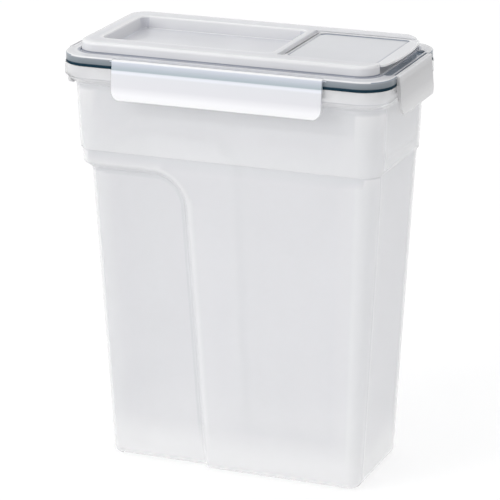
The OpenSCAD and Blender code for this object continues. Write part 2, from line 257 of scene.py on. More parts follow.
def round_line(corners: Sequence[tuple[float, float, float]], steps: int = 5) -> Section:
    """Round the inner corners of an open section line, with a support point beside each.

    Args:
        corners: Across, up and radius of each corner.
        steps: Segments in each rounded corner.

    Returns:
        The points of the rounded line.
    """
    points = [Vector(c[:2]) for c in corners]
    line = [tuple(points[0])]
    for before, here, after, corner in zip(points, points[1:], points[2:], corners[1:]):
        to_a, to_b = before - here, after - here
        turn = to_a.angle(to_b)
        if corner[2] <= 0 or turn > NEARLY_STRAIGHT:
            line.append(tuple(here))
            continue
        way_a, way_b = to_a.normalized(), to_b.normalized()
        reach = min(corner[2] / math.tan(turn / 2), CORNER_SHARE * to_a.length, CORNER_SHARE * to_b.length)
        radius = reach * math.tan(turn / 2)
        centre = here + (way_a + way_b).normalized() * radius / math.sin(turn / 2)
        spoke_a, spoke_b = here + way_a * reach - centre, here + way_b * reach - centre
        sweep = spoke_a.angle_signed(spoke_b)
        hold = reach + min(0.5 * reach, HOLD_REACH)
        if hold < HOLD_SHARE * to_a.length:
            line.append(tuple(here + way_a * hold))
        for i in range(steps + 1):
            spoke = spoke_a.copy()
            spoke.rotate(Matrix.Rotation(-sweep * i / steps, 2))
            line.append(tuple(centre + spoke))
        if hold < HOLD_SHARE * to_b.length:
            line.append(tuple(here + way_b * hold))
    line.append(tuple(points[-1]))
    return line


@dataclass(frozen=True)
class Outline:
    """A rounded rectangle seen from above.

    Attributes:
        x0: Left end.
        x1: Right end.
        half: Half of the width.
        left: Corner radius at the left.
        right: Corner radius at the right.
        bow: How far the right end bows out in its middle.
    """

    x0: float
    x1: float
    half: float
    left: float
    right: float
    bow: float = 0.0

    @classmethod
    def centred(cls, length: float, width: float, radius: float) -> "Outline":
        """Outline of a given length, width and corner radius about the middle."""
        return cls(-length / 2, length / 2, width / 2, radius, radius)

    def grown(self, by: float) -> "Outline":
        """Outline that stands out by a distance all round, or in by a negative one."""
        left, right = max(self.left + by, LEAST_CORNER), max(self.right + by, LEAST_CORNER)
        return Outline(self.x0 - by, self.x1 + by, self.half + by, left, right, self.bow)

    def towards(self, other: "Outline", share: float) -> "Outline":
        """Straight-ended outline part of the way to another one.

        Args:
            other: The other outline.
            share: 0 for this one, 1 for the other.

        Returns:
            The outline between them.
        """
        pairs = (
            (self.x0, other.x0), (self.x1, other.x1), (self.half, other.half),
            (self.left, other.left), (self.right, other.right),
        )
        return Outline(*(here + (there - here) * share for here, there in pairs))


@dataclass(frozen=True)
class Walk:
    """How the vertices of a loop are spread along an outline.

    Attributes:
        corner: Segments in each corner.
        near: Distances from the left end of vertices on the long sides.
        long: Segments between those and the right corners.
        short: Segments along each short side.
        hold: Distance of support vertices from the corners, 0 for none.
    """

    corner: int = 12
    near: tuple[float, ...] = ()
    long: int = 6
    short: int = 4
    hold: float = 0.0

    @property
    def count(self) -> int:
        """Number of vertices in a loop."""
        held = 3 if self.hold else 0
        return 4 * (self.corner + 1) + 2 * (len(self.near) + self.long - 1 + self.short - 1 + held)

    def spots(self, outline: Outline) -> list[tuple[Vector, Vector]]:
        """Spread the vertices of one loop.

        Args:
            outline: The outline they lie on.

        Returns:
            Place and outward direction of each vertex, counter-clockwise.
        """
        o = outline

        def corner(x: float, y: float, radius: float, start: float) -> list[tuple[Vector, Vector]]:
            """Spread the vertices of one corner.

            Args:
                x: Centre of the corner along X.
                y: Centre of the corner along Y.
                radius: Radius of the corner.
                start: First angle in degrees.

            Returns:
                Place and outward direction of each vertex.
            """
            turns = [math.radians(start + 90 * i / self.corner) for i in range(self.corner + 1)]
            spokes = [Vector((math.cos(a), math.sin(a))) for a in turns]
            return [(Vector((x, y)) + radius * spoke, spoke) for spoke in spokes]

        def across(straight: float) -> list[float]:
            """Spread the vertices of one short side.

            Args:
                straight: Half length of the side's straight part.

            Returns:
                Place of each vertex along the side.
            """
            places = [straight * (2 * i / self.short - 1) for i in range(1, self.short)]
            end = straight - self.hold
            return [-end, *places, end] if self.hold else places

        stops = [o.x0 + distance for distance in self.near]
        first, last = (stops[-1] if stops else o.x0 + o.left), o.x1 - o.right
        stops += [first + (last - first) * i / self.long for i in range(1, self.long)]
        stops += [last - self.hold] if self.hold else []
        spots = corner(o.x0 + o.left, -o.half + o.left, o.left, 180)
        spots += [(Vector((x, -o.half)), Vector((0, -1))) for x in stops]
        spots += corner(o.x1 - o.right, -o.half + o.right, o.right, 270)
        spots += [(Vector((o.x1, y)), Vector((1, 0))) for y in across(o.half - o.right)]
        spots += corner(o.x1 - o.right, o.half - o.right, o.right, 0)
        spots += [(Vector((x, o.half)), Vector((0, 1))) for x in reversed(stops)]
        spots += corner(o.x0 + o.left, o.half - o.left, o.left, 90)
        spots += [(Vector((o.x0, -y)), Vector((-1, 0))) for y in across(o.half - o.left)]
        if o.bow:
            for spot, _ in spots:
                share = clamped((spot.x - o.x1 + o.right) / o.right)
                spot.x += o.bow * share * (1 - abs(spot.y / o.half) ** BOW_POWER)
        return spots


class Loft:
    """A skin drawn over a pile of loops.

    Attributes:
        bm: The shape so far.
        walk: How vertices are spread along each loop.
        order: Layer with each vertex's number in its loop.
        first: Edges of the first loop.
        last: Edges of the loop that the skin goes on from.
    """

    def __init__(self, walk: Walk) -> None:
        """Start an empty pile.

        Args:
            walk: How vertices are spread along each loop.
        """
        self.bm = bmesh.new()
        self.walk = walk
        self.order = self.bm.verts.layers.int.new("order")
        self.first: list[bmesh.types.BMEdge] = []
        self.last: list[bmesh.types.BMEdge] = []

    def shape(self, spot: Vector, outward: Vector, outline: Outline, z: float) -> Vector:
        """Place one vertex of a loop; plain piles leave it on the outline."""
        return Vector((spot.x, spot.y, z))

    def add(self, outline: Outline, z: float) -> "Loft":
        """Draw the skin on to one more loop.

        Args:
            outline: The loop's outline.
            z: Its height.

        Returns:
            The pile itself.
        """
        if self.last:
            made = bmesh.ops.extrude_edge_only(self.bm, edges=self.last)["geom"]
            verts = [g for g in made if isinstance(g, bmesh.types.BMVert)]
            known = set(verts)
            self.last = [g for g in made if isinstance(g, bmesh.types.BMEdge) and set(g.verts) <= known]
        else:
            verts = bmesh.ops.create_circle(self.bm, segments=self.walk.count, radius=1)["verts"]
            for k, vert in enumerate(verts):
                vert[self.order] = k
            self.first = self.last = list(self.bm.edges)
        spots = self.walk.spots(outline)
        for vert in verts:
            vert.co = self.shape(*spots[vert[self.order]], outline, z)
        return self

    def pile(self, base: Outline, section: Section) -> "Loft":
        """Draw the skin along a section line.

        Args:
            base: Outline that the section's distances are measured from.
            section: Distance outward and height of each loop.

        Returns:
            The pile itself.
        """
        for across, up in section:
            self.add(base.grown(across), up)
        return self

    def cap(self, ends: str) -> "Loft":
        """Close the pile's ends with flat faces.

        Args:
            ends: Which ends, "first", "last" or both.

        Returns:
            The pile itself.
        """
        for name in ends.split():
            bmesh.ops.contextual_create(self.bm, geom=self.first if name == "first" else self.last)
        return self

    def ring(self) -> "Loft":
        """Join the last loop to the first one, as on a seal."""
        bmesh.ops.bridge_loops(self.bm, edges=self.first + self.last)
        return self


def block(name: str, low: Sequence[float], high: Sequence[float]) -> bpy.types.Object:
    """Make a plain tool block between two corners.

    Args:
        name: Name of the tool.
        low: Lowest corner.
        high: Highest corner.

    Returns:
        The tool shape.
    """
    bm = bmesh.new()
    size = Vector(high) - Vector(low)
    bmesh.ops.create_cube(bm, size=1)
    bmesh.ops.scale(bm, vec=size, verts=bm.verts)
    bmesh.ops.translate(bm, vec=(Vector(low) + Vector(high)) / 2, verts=bm.verts)
    return new_object(name, bm)


def slab(name: str, outline: Outline, low: float, high: float) -> bpy.types.Object:
    """Make a tool slab with rounded corners between two heights."""
    return new_object(name, Loft(Walk()).add(outline, low).add(outline, high).cap("first last").bm)


def rod(name: str, radius: float, length: float, place: Sequence[float], turn: Matrix) -> bpy.types.Object:
    """Make a round rod for a pin, a knuckle or a bore.

    Args:
        name: Name of the rod.
        radius: Its radius.
        length: Its length.
        place: Its middle.
        turn: Rotation from lying along Z.

    Returns:
        The rod.
    """
    bm = bmesh.new()
    bmesh.ops.create_cone(
        bm, cap_ends=True, segments=ROD_SIDES, radius1=radius, radius2=radius, depth=length,
        matrix=Matrix.Translation(Vector(place)) @ turn.to_4x4(),
    )
    return new_object(name, bm)


def prism(name: str, section: Section, length: float) -> bpy.types.Object:
    """Draw a closed section out along X, centred.

    Args:
        name: Name of the shape.
        section: Distance to the front and height of each corner.
        length: Length along X.

    Returns:
        The shape.
    """
    bm = bmesh.new()
    verts = [bm.verts.new((-length / 2, -across, up)) for across, up in section]
    face = bmesh.ops.contextual_create(bm, geom=verts)["faces"]
    made = bmesh.ops.extrude_face_region(bm, geom=face)["geom"]
    moved = [g for g in made if isinstance(g, bmesh.types.BMVert)]
    bmesh.ops.translate(bm, vec=(length, 0, 0), verts=moved)
    return new_object(name, bm)


@dataclass(frozen=True)
class Sizes:
    """Sizes that several pieces share.

    Attributes:
        rim_length: Length of the container's rim.
        rim_width: Width of the container's rim.
        rim_z: Height of the rim.
        lid_length: Length of the lid's flange.
        lid_width: Width of the lid's flange.
        top_z: Height of the raised top.
        rim_band: Height of the rim band.
        lid_radius: Corner radius of the flange.
        seal: Gap between rim and flange that the seal fills.
        flange: Height of the flange's side.
        rise: Height of the raised top's foot above the flange's edge.
        end_ledge: Width of the flange outside the raised top at the ends.
        side_ledge: Width of the flange outside the raised top along the long sides.
        top_radius: Corner radius of the raised top.
        pocket_sink: Depth of the flap's pocket below the raised top's foot.
        flap_length: Length of the flap from its hinge axis to the raised top's end.
        flap_side: Distance of the flap from the raised top's long sides.
        flap_low: Depth of the flap below the raised top.
        flap_gap: Gap between the flap and its pocket.
        flap_pin: Radius of the flap's pins.
        knuckle: Radius of the flap's knuckle.
        pour_rear: Distance of the pour opening from the flap's hinge axis.
        pour_end: Distance of the pour opening from the raised top's end.
        pour_side: Distance of the pour opening from the flap's sides.
        pour_radius: Corner radius of the pour opening.
        long_clip: Length of the clips on the long sides.
        short_clip: Length of the clips at the ends.
        clip_gap: Gap between a clip and the flange.
        clip_low: Depth of a clip's barrel below the flange's edge.
        barrel: Radius of a clip's hinge barrel.
        clip_pin: Radius of a clip's pins.
        pin_length: Length of each of a clip's pins.
        clearance: Gap round a pin in its bore.
    """

    rim_length: float
    rim_width: float
    rim_z: float
    lid_length: float
    lid_width: float
    top_z: float
    rim_band: float = 8.5
    lid_radius: float = 22.0
    seal: float = 1.8
    flange: float = 5.7
    rise: float = 0.8
    end_ledge: float = 11.0
    side_ledge: float = 10.0
    top_radius: float = 14.0
    pocket_sink: float = 0.5
    flap_length: float = 73.5
    flap_side: float = 14.5
    flap_low: float = 0.5
    flap_gap: float = 0.5
    flap_pin: float = 1.3
    knuckle: float = 2.6
    pour_rear: float = 18.5
    pour_end: float = 9.0
    pour_side: float = 9.5
    pour_radius: float = 10.0
    long_clip: float = 160.0
    short_clip: float = 72.0
    clip_gap: float = 0.45
    clip_low: float = 0.2
    barrel: float = 1.4
    clip_pin: float = 0.9
    pin_length: float = 2.5
    clearance: float = 0.05

    @classmethod
    def from_frame(cls) -> "Sizes":
        """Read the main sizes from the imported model.

        Returns:
            The sizes.
        """
        rim_low, rim_high = (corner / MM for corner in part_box("container"))
        lid_low, lid_high = (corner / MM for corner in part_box("lid"))
        rim, lid = rim_high - rim_low, lid_high - lid_low
        return cls(rim.x, rim.y, rim_high.z, lid.x, lid.y, lid_high.z)

    @property
    def band_z(self) -> float:
        """Underside of the rim band."""
        return self.rim_z - self.rim_band

    @property
    def flange_z(self) -> float:
        """Underside of the lid's flange."""
        return self.rim_z + self.seal

    @property
    def edge_z(self) -> float:
        """Upper edge of the flange's side."""
        return self.flange_z + self.flange

    @property
    def foot_z(self) -> float:
        """Foot of the raised top."""
        return self.edge_z + self.rise

    @property
    def pocket_z(self) -> float:
        """Floor of the flap's pocket."""
        return self.foot_z - self.pocket_sink

    @property
    def lid(self) -> Outline:
        """Outline of the flange."""
        return Outline.centred(self.lid_length, self.lid_width, self.lid_radius)

    @property
    def top(self) -> Outline:
        """Outline of the raised top."""
        length = self.lid_length - 2 * self.end_ledge
        return Outline.centred(length, self.lid_width - 2 * self.side_ledge, self.top_radius)

    @property
    def hinge_x(self) -> float:
        """Hinge axis of the flap."""
        return self.top.x1 - self.flap_length

    @property
    def hinge_z(self) -> float:
        """Height of the flap's hinge axis."""
        return self.top_z - self.flap_low - self.knuckle

    @property
    def flap_half(self) -> float:
        """Half width of the flap."""
        return self.top.half - self.flap_side

    @property
    def pour(self) -> Outline:
        """Outline of the pour opening."""
        x0, x1 = self.hinge_x + self.pour_rear, self.top.x1 - self.pour_end
        return Outline(x0, x1, self.flap_half - self.pour_side, self.pour_radius, self.pour_radius)

    @property
    def clip_inset(self) -> float:
        """Distance of a clip's hinge line from the flange's side."""
        return 2 * self.clip_gap

    @property
    def clip_z(self) -> float:
        """Height of a clip's hinge line."""
        return self.edge_z - self.barrel - self.clip_low

    def clip_length(self, side: Side) -> float:
        """Length of the clip on one side."""
        return self.short_clip if side.at_end else self.long_clip

    def lid_half(self, side: Side) -> float:
        """Distance of the flange's side from the middle of the lid."""
        return (self.lid_length if side.at_end else self.lid_width) / 2


def feed(tree: bpy.types.NodeTree, socket: Socket, source: Feed) -> None:
    """Give an input another node's output or a fixed value.

    Args:
        tree: The tree that both are in.
        socket: The input.
        source: The output or the value.
    """
    if isinstance(source, Socket):
        tree.links.new(source, socket)
    else:
        socket.default_value = source


def calculate(tree: bpy.types.NodeTree, operation: str, *sources: Feed) -> Socket:
    """Work out a number with a Math node.

    Args:
        tree: The tree to build it in.
        operation: What is done with the sources.
        sources: Outputs or fixed numbers, in the order of the inputs.

    Returns:
        The result's socket.
    """
    node = tree.nodes.new("ShaderNodeMath")
    node.operation = operation
    for socket, source in zip(node.inputs, sources):
        feed(tree, socket, source)
    return node.outputs[0]


def calculate_vector(
    tree: bpy.types.NodeTree, operation: str, source: Socket, by: Sequence[float] = (0, 0, 0),
) -> bpy.types.Node:
    """Work out a vector, or its length, with a Vector Math node.

    Args:
        tree: The tree to build it in.
        operation: What is done with the source.
        source: The vector.
        by: The second vector, where the operation takes one.

    Returns:
        The node.
    """
    node = tree.nodes.new("ShaderNodeVectorMath")
    node.operation = operation
    node.inputs[1].default_value = by
    tree.links.new(source, node.inputs[0])
    return node


def remap(
    tree: bpy.types.NodeTree, value: Socket, start: float, end: float, low: float = 0.0, high: float = 1.0,
) -> Socket:
    """Turn one range of a value into another with a Map Range node.

    Args:
        tree: The tree to build it in.
        value: The value.
        start: Value that becomes low.
        end: Value that becomes high.
        low: Result at the start and before it.
        high: Result at the end and past it.

    Returns:
        The result's socket.
    """
    node = tree.nodes.new("ShaderNodeMapRange")
    for name, source in (
        ("Value", value), ("From Min", start), ("From Max", end), ("To Min", low), ("To Max", high),
    ):
        feed(tree, node.inputs[name], source)
    return node.outputs["Result"]


def blend(tree: bpy.types.NodeTree, factor: Socket, first: Feed, second: Feed) -> Socket:
    """Mix two colours.

    Args:
        tree: The tree to build it in.
        factor: Share of the second colour.
        first: The first colour, an output or a fixed one.
        second: The second colour, an output or a fixed one.

    Returns:
        The mixed colour's socket.
    """
    node = tree.nodes.new("ShaderNodeMix")
    node.data_type = "RGBA"
    for name, source in (("Factor", factor), ("A", first), ("B", second)):
        feed(tree, node.inputs[name], source)
    return node.outputs["Result"]


@dataclass(frozen=True)
class Band:
    """A band of height painted over the plastic's colour, for what shows through from behind it and for
    painted shade and light.

    Attributes:
        stops: Height and linear colour, from the band's lower end upwards.
        beyond: Half length, half width and corner radius of the outline that the band stays outside of.
        blur: Height over which the band fades out at its ends.
        edge: Distance over which it fades in up to that outline.
    """

    stops: tuple[tuple[float, Color], ...]
    beyond: tuple[float, float, float] | None = None
    blur: float = 0.1
    edge: float = 0.5

    def lay(self, tree: bpy.types.NodeTree, color: Socket) -> Socket:
        """Lay the band over a colour.

        Args:
            tree: The material's nodes.
            color: The plastic's own colour.

        Returns:
            The colour with the band.
        """
        def share(source: Socket, start: float, end: float) -> Socket:
            """Share that rises from 0 to 1 between two places in millimetres."""
            return remap(tree, source, start * MM, end * MM)

        place = tree.nodes.new("ShaderNodeTexCoord").outputs["Object"]
        place = calculate_vector(tree, "ABSOLUTE", place).outputs["Vector"]
        split = tree.nodes.new("ShaderNodeSeparateXYZ")
        tree.links.new(place, split.inputs["Vector"])
        z, low, high = split.outputs["Z"], self.stops[0][0], self.stops[-1][0]
        where = calculate(
            tree, "MULTIPLY", share(z, low - self.blur, low), share(z, high + self.blur, high),
        )
        if self.beyond:
            x, y, radius = self.beyond
            core = ((x - radius) * MM, (y - radius) * MM, 1)
            past = calculate_vector(tree, "SUBTRACT", place, core).outputs["Vector"]
            past = calculate_vector(tree, "MAXIMUM", past).outputs["Vector"]
            past = calculate_vector(tree, "LENGTH", past).outputs["Value"]
            where = calculate(tree, "MULTIPLY", where, share(past, radius - self.edge, radius))
        tint = tree.nodes.new("ShaderNodeValToRGB")
        ramp = tint.color_ramp.elements
        ramp[0].color, ramp[1].color = (*self.stops[0][1], 1), (*self.stops[-1][1], 1)
        for height, shade in self.stops[1:-1]:
            ramp.new((height - low) / (high - low)).color = (*shade, 1)
        tree.links.new(share(z, low, high), tint.inputs["Fac"])
        return blend(tree, where, color, tint.outputs["Color"])


@dataclass(frozen=True)
class Plastic:
    """A moulded plastic that lets part of the light through.

    Attributes:
        name: Material name.
        color: Base colour, linear.
        cloud: Colour of its milkier places, linear.
        clearness: Share of the light that goes through.
        roughness: Roughness of the surface.
        ior: Refractive index.
        grain: Height of the fine grain texture in metres.
        grain_size: Size of the texture's cells.
        flow: Size of the milky clouds.
        ridge_highlight: Colour painted on its ridges as a highlight, linear.
        valley_shade: Colour painted in its valleys as shade, linear.
        coat: Strength of its smooth outer skin.
        coat_roughness: Roughness of that skin.
        bands: Bands of painted colour over its height, for what shows through it and for painted shade and
            light.
    """

    name: str
    color: Color
    cloud: Color
    clearness: float
    roughness: float
    ior: float = 1.15
    grain: float = 0.00001
    grain_size: float = 0.9
    flow: float = 60.0
    # Ridges are painted lighter as a highlight and valleys painted darker as shade, by the relief
    # attribute.
    ridge_highlight: Color = (1.0, 1.0, 1.0)
    valley_shade: Color = (0.62, 0.66, 0.72)
    coat: float = 0.5
    coat_roughness: float = 0.08
    bands: tuple[Band, ...] = ()

    def make(self) -> bpy.types.Material:
        """Build the material.

        Returns:
            The finished material.
        """
        material = bpy.data.materials.new(self.name)
        material.use_nodes = True
        tree = material.node_tree
        shader = tree.nodes["Principled BSDF"]
        shader.inputs["IOR"].default_value = self.ior
        shader.inputs["Transmission Weight"].default_value = self.clearness
        shader.inputs["Coat Weight"].default_value = self.coat
        shader.inputs["Coat Roughness"].default_value = self.coat_roughness
        relief = tree.nodes.new("ShaderNodeAttribute")
        relief.attribute_name = RELIEF
        moulding_and_painted_relief = tree.nodes.new("ShaderNodeGroup")
        moulding_and_painted_relief.node_tree = moulding_group()
        for name, source in (
            ("Place", tree.nodes.new("ShaderNodeTexCoord").outputs["Object"]),
            ("Relief", relief.outputs["Fac"]),
            ("Grain Size", self.grain_size),
            ("Flow Size", self.flow),
            ("Roughness", self.roughness),
            ("Color", (*self.color, 1)),
            ("Cloud Color", (*self.cloud, 1)),
            ("Ridge Highlight Color", (*self.ridge_highlight, 1)),
            ("Valley Shade Color", (*self.valley_shade, 1)),
        ):
            feed(tree, moulding_and_painted_relief.inputs[name], source)
        color = moulding_and_painted_relief.outputs["Color"]
        for band in self.bands:
            color = band.lay(tree, color)
        bump = tree.nodes.new("ShaderNodeBump")
        bump.inputs["Distance"].default_value = self.grain
        tree.links.new(moulding_and_painted_relief.outputs["Height"], bump.inputs["Height"])
        tree.links.new(color, shader.inputs["Base Color"])
        tree.links.new(moulding_and_painted_relief.outputs["Roughness"], shader.inputs["Roughness"])
        tree.links.new(bump.outputs["Normal"], shader.inputs["Normal"])
        return material


def moulding_group() -> bpy.types.NodeTree:
    """Group for the surface of moulded plastic: fine grain, flow clouds, uneven gloss, and painted
    highlights on ridges and painted shade in valleys.

    Returns:
        The node group, built on the first call.
    """
    known = bpy.data.node_groups.get("moulding_and_painted_relief")
    if known:
        return known
    group = bpy.data.node_groups.new("moulding_and_painted_relief", "ShaderNodeTree")
    for way, kind, names in (
        ("INPUT", "Vector", ("Place",)),
        ("INPUT", "Float", ("Grain Size", "Flow Size", "Roughness", "Relief")),
        ("INPUT", "Color", ("Color", "Cloud Color", "Ridge Highlight Color", "Valley Shade Color")),
        ("OUTPUT", "Color", ("Color",)),
        ("OUTPUT", "Float", ("Roughness", "Height")),
    ):
        for name in names:
            group.interface.new_socket(name, in_out=way, socket_type="NodeSocket" + kind)
    inside = group.nodes.new("NodeGroupInput").outputs
    outside = group.nodes.new("NodeGroupOutput").inputs

    def noise(size: str, detail: float) -> Socket:
        """Build a noise whose cells have the size of one input.

        Args:
            size: Name of the input.
            detail: How many finer layers the noise has.

        Returns:
            The noise's socket.
        """
        made = group.nodes.new("ShaderNodeTexNoise")
        feed(group, made.inputs["Vector"], inside["Place"])
        feed(group, made.inputs["Scale"], calculate(group, "DIVIDE", 1 / MM, inside[size]))
        feed(group, made.inputs["Detail"], detail)
        return made.outputs["Fac"]

    grain, flow = noise("Grain Size", 2), noise("Flow Size", 3)
    color = blend(group, remap(group, flow, 0.35, 0.65), inside["Color"], inside["Cloud Color"])
    # Paint ridges lighter as a highlight and valleys darker as shade.
    for name, limit in (("Ridge Highlight Color", 1.0), ("Valley Shade Color", -1.0)):
        color = blend(group, remap(group, inside["Relief"], 0.0, limit), color, inside[name])
    gloss = remap(group, flow, 0.0, 1.0, low=0.85, high=1.15)
    feed(group, outside["Color"], color)
    feed(group, outside["Roughness"], calculate(group, "MULTIPLY", inside["Roughness"], gloss))
    feed(group, outside["Height"], grain)
    return group


# Painted light: the body's lowest part is lighter, as if lit by the white floor under it.
PAINTED_FLOOR_LIGHT = Band(((0.0, (0.99, 0.99, 0.995)), (16.0, (0.975, 0.975, 0.98))), blur=20.0)
# Each plastic paints its ridges lighter as a highlight and its valleys darker as shade.
FROSTED_BODY = Plastic(
    "frosted_body", (0.897, 0.898, 0.912), (0.885, 0.886, 0.90), 0.7, 0.13, ior=1.03,
    valley_shade=(0.81, 0.82, 0.84), coat=0.7, bands=(PAINTED_FLOOR_LIGHT,),
)
# Paints the flange's outer side dark grey-teal, lighter towards its upper edge and near black along its
# lower edge.
FLANGE_SIDE = Band((
    (308.8, (0.03, 0.065, 0.10)), (309.15, (0.03, 0.065, 0.10)), (309.5, (0.25, 0.295, 0.33)),
    (312.6, (0.31, 0.345, 0.375)), (313.5, (0.40, 0.43, 0.46)),
), beyond=(123.2, 62.2, 20.2), blur=0.4)
# Painted shadow: blue-grey on the flange past the raised top's end, under the flap's lip.
LIP_SHADOW = Band((
    (312.8, (0.32, 0.38, 0.45)), (314.1, (0.36, 0.42, 0.49)),
), beyond=(114.6, 200.0, 1.0), blur=0.3)
# Painted shade: a dark line along the foot of the raised top, in its channel.
FOOT_SHADOW_LINE = Band((
    (315.25, (0.36, 0.385, 0.45)), (316.1, (0.36, 0.385, 0.45)),
), beyond=(113.2, 53.2, 13.2), blur=0.15)
LID_GREY = Plastic(
    "lid_grey", (0.82, 0.825, 0.85), (0.78, 0.786, 0.815), 0.3, 0.14, valley_shade=(0.70, 0.71, 0.77),
    bands=(LIP_SHADOW, FLANGE_SIDE, FOOT_SHADOW_LINE),
)
# The flap's valleys are painted strongly dark as shade, which draws the dish's edges.
FLAP_GREY = Plastic(
    "flap_grey", (0.79, 0.80, 0.83), (0.75, 0.76, 0.79), 0.3, 0.10, valley_shade=(0.30, 0.34, 0.40),
)
# Painted see-through: the long clips show the rim band, the dark seal and the flange behind them as colour
# bands over their height, with a painted highlight at the rim's top edge.
LONG_CLIP_SHOW = Band((
    (284.0, (1.0, 1.0, 1.0)), (290.0, (0.98, 0.98, 1.0)), (295.5, (0.83, 0.83, 0.86)),
    (304.0, (0.83, 0.84, 0.87)), (305.6, (0.92, 0.94, 1.0)), (306.9, (0.84, 0.87, 0.92)),
    (307.6, (0.46, 0.53, 0.57)), (313.2, (0.72, 0.75, 0.83)), (314.0, (1.0, 1.0, 1.0)),
), blur=1.0)
# The short clips are painted grey over their height, darkest between the rim band and the flange's edge.
SHORT_CLIP_SHOW = Band((
    (284.0, (0.95, 0.95, 0.95)), (290.0, (0.88, 0.88, 0.88)), (297.0, (0.74, 0.74, 0.745)),
    (308.0, (0.68, 0.68, 0.685)), (313.0, (0.76, 0.76, 0.77)), (314.0, (0.9, 0.9, 0.91)),
), blur=1.0)
LONG_CLIP = Plastic(
    "long_clip_milk", (0.985, 0.985, 0.99), (0.97, 0.97, 0.98), 0.15, 0.13, ior=1.08, coat=0.4,
    bands=(LONG_CLIP_SHOW,),
)
SHORT_CLIP = replace(LONG_CLIP, name="short_clip_milk", bands=(SHORT_CLIP_SHOW,))
# The seal's ridges are painted lighter as a highlight and its valleys darker as shade.
SEAL_DARK = Plastic(
    "seal_dark", (0.005, 0.018, 0.031), (0.004, 0.015, 0.027), 0.0, 0.55, ior=1.12, grain=0.00003,
    ridge_highlight=(0.010, 0.034, 0.053), valley_shade=(0.003, 0.008, 0.014), coat=0.0,
)


def dress(piece: bpy.types.Object, finish: Plastic) -> None:
    """Give a piece its finish.

    Args:
        piece: The piece.
        finish: Its plastic.
    """
    piece.data.materials.clear()
    piece.data.materials.append(bpy.data.materials.get(finish.name) or finish.make())


def seat(piece: bpy.types.Object, body: str, node: str) -> None:
    """Let a piece ride on its body in place of its node, and report it.

    Args:
        piece: The finished piece.
        body: The body that it moves with.
        node: The node that it stands for.
    """
    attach(piece, body)
    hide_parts(node)
    log.info("piece %s on %s: %d faces", piece.name, body, len(piece.data.polygons))


@dataclass(frozen=True)
class Grip:
    """The hand grip at the container's left end.

    Attributes:
        depth: Depth of the grip.
        width: Width of the grip from the left end.
        top: Height of its top ledge.
        radius: Radius of its inner top corner.
        slope: Width of the slope into it.
        corner: Radius that its upright corners keep at least.
    """

    depth: float
    width: float
    top: float
    radius: float
    slope: float
    corner: float = 0.6


class GripLoft(Loft):
    """The container's skin, pressed in where the hand grips it.

    Attributes:
        grip: The grip's shape.
        over: How far the outer skin lies outside the present one.
        pressed: True while the skin runs below the step.
    """

    def __init__(self, walk: Walk, grip: Grip) -> None:
        """Start the skin.

        Args:
            walk: How vertices are spread along each loop.
            grip: The grip's shape.
        """
        super().__init__(walk)
        self.grip = grip
        self.over = 0.0
        self.pressed = True

    def shape(self, spot: Vector, outward: Vector, outline: Outline, z: float) -> Vector:
        """Press one vertex in by the grip's depth at its place.

        Args:
            spot: Place on the outline.
            outward: Direction away from the inside.
            outline: The outline itself.
            z: Height of the loop.

        Returns:
            The vertex's place.
        """
        if not self.pressed:
            return super().shape(spot, outward, outline, z)
        grip = self.grip
        along = max(spot.x - outline.x0 + self.over - grip.width + grip.radius, 0)
        above = max(z - grip.top + grip.radius, 0)
        inset = grip.depth * eased(clamped((grip.radius - math.hypot(along, above)) / grip.slope))
        beyond = max(inset - outline.left + grip.corner, 0.0)
        moves = [d * (inset - beyond) + math.copysign(beyond, d) * (abs(d) > TINY) for d in outward]
        return Vector((spot.x - moves[0], spot.y - moves[1], z))


